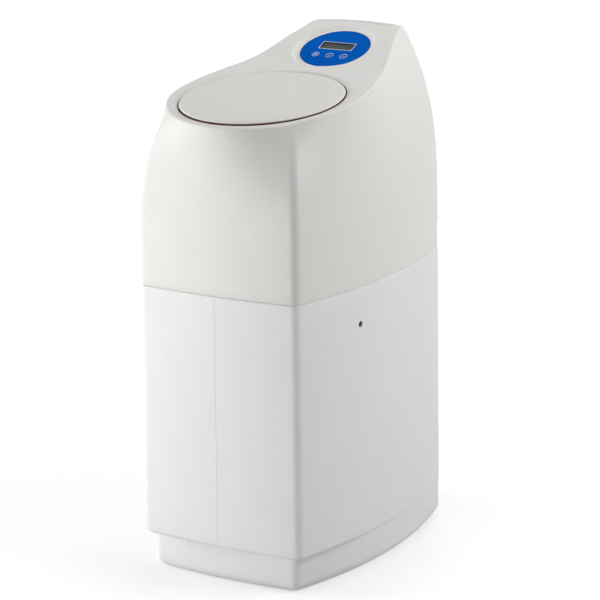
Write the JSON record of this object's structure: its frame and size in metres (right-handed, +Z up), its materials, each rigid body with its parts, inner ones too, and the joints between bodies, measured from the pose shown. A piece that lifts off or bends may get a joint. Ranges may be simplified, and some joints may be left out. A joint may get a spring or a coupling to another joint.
{
  "type": "water softener",
  "caption": "Cabinet water softener with bowed sides, a hinged oval salt lid, a tilted round control panel with display and keys, and a resin tank with valve and bypass inside.",
  "frame": {"origin": "on the floor, under the middle of the cabinet plan", "axes": "+Z up, -Y towards the front, +X to the right of someone facing the front"},
  "size_m": [0.3434, 0.5784, 0.8691],
  "materials": {
    "cabinet_white": "moulded, faint grain",
    "hood_grey": "moulded, warm off-white",
    "lid_grey": "moulded, satin",
    "steel": "zinc plated",
    "rubber": "soft, matte",
    "tray_grey": "moulded",
    "panel_blue": "printed overlay, satin",
    "key_blue": "printed key with a pale ring",
    "window": "clear",
    "lcd": "unlit display, dark grey-green",
    "board": "solder resist",
    "black_plastic": "moulded",
    "grey_plastic": "moulded",
    "white_plastic": "extruded",
    "fibreglass": "wound fibreglass",
    "resin": "wet beads",
    "valve_black": "glass filled",
    "gear_plastic": "natural acetal",
    "plate_metal": "sheet steel",
    "knob_red": "moulded",
    "clip_blue": "moulded",
    "float_green": "moulded",
    "hose_white": "polyethylene tube"
  },
  "bodies": {
    "case": {"cabinet": "cabinet_white", "hood": "hood_grey", "hood_screws": "steel", "hatch_collar": "hood_grey", "lid_seal": "rubber", "control_housing": "tray_grey", "panel_plate": "panel_blue", "display_window": "window", "lcd_module": "lcd", "key_switches": "black_plastic", "control_board": "board", "board_screws": "steel", "power_jack": "black_plastic", "tank_boot": "black_plastic", "resin_tank": "fibreglass", "resin_bed": "resin", "riser_tube": "white_plastic", "bottom_strainer": "grey_plastic", "top_strainer": "grey_plastic", "neck_seal": "rubber", "valve_body": "valve_black", "rotor_seal": "rubber", "valve_cover": "grey_plastic", "cover_screws": "steel", "motor_plate": "plate_metal", "drive_motor": "plate_metal", "position_switch": "black_plastic", "injector_cap": "valve_black", "brine_elbow": "gear_plastic", "drain_fitting": "valve_black", "turbine_support": "grey_plastic", "bypass_body": "valve_black", "bypass_clips": "clip_blue", "brine_well": "white_plastic", "well_cap": "grey_plastic", "safety_valve": "grey_plastic", "pickup_tube": "white_plastic", "air_check": "black_plastic", "brine_hose": "hose_white", "salt_grid": "white_plastic"},
    "lid": {"salt_lid": "lid_grey", "lid_hinge_pins": "steel"},
    "menu_key": {"key_menu": "key_blue"},
    "down_key": {"key_down": "key_blue"},
    "up_key": {"key_up": "key_blue"},
    "rotor": {"valve_rotor": "white_plastic", "drive_gear": "gear_plastic"},
    "pinion": {"motor_pinion": "gear_plastic"},
    "turbine_wheel": {"turbine": "white_plastic"},
    "bypass": {"bypass_stem": "knob_red"},
    "float": {"brine_float": "float_green", "float_rod": "steel"}
  },
  "joints": [
    {"name": "lid_hinge", "type": "hinge", "parent": "case", "child": "lid", "pos_m": [0, 0.02358, 0.79779], "axis": [-1, 0, 0], "range_deg": [0, 95]},
    {"name": "menu_press", "type": "slide", "parent": "case", "child": "menu_key", "axis": [0, 0.4226, -0.9063], "range_m": [0, 0.0008], "stiffness_N_per_m": 500},
    {"name": "down_press", "type": "slide", "parent": "case", "child": "down_key", "axis": [0, 0.4226, -0.9063], "range_m": [0, 0.0008], "stiffness_N_per_m": 500},
    {"name": "up_press", "type": "slide", "parent": "case", "child": "up_key", "axis": [0, 0.4226, -0.9063], "range_m": [0, 0.0008], "stiffness_N_per_m": 500},
    {"name": "rotor_spin", "type": "hinge", "parent": "case", "child": "rotor", "pos_m": [0, 0.131, 0.66], "axis": [0, 0, 1], "continuous": true},
    {"name": "pinion_spin", "type": "hinge", "parent": "case", "child": "pinion", "pos_m": [0, 0.086, 0.68], "axis": [0, 0, 1], "continuous": true},
    {"name": "turbine_spin", "type": "hinge", "parent": "case", "child": "turbine_wheel", "pos_m": [0.032, 0.19, 0.616], "axis": [0, 1, 0], "continuous": true},
    {"name": "bypass_slide", "type": "slide", "parent": "case", "child": "bypass", "axis": [1, 0, 0], "range_m": [0, 0.018]},
    {"name": "float_lift", "type": "slide", "parent": "case", "child": "float", "axis": [0, 0, 1], "range_m": [0, 0.012]}
  ],
  "couplings": [
    {"joint": "pinion_spin", "follows": "rotor_spin", "ratio": -5}
  ]
}
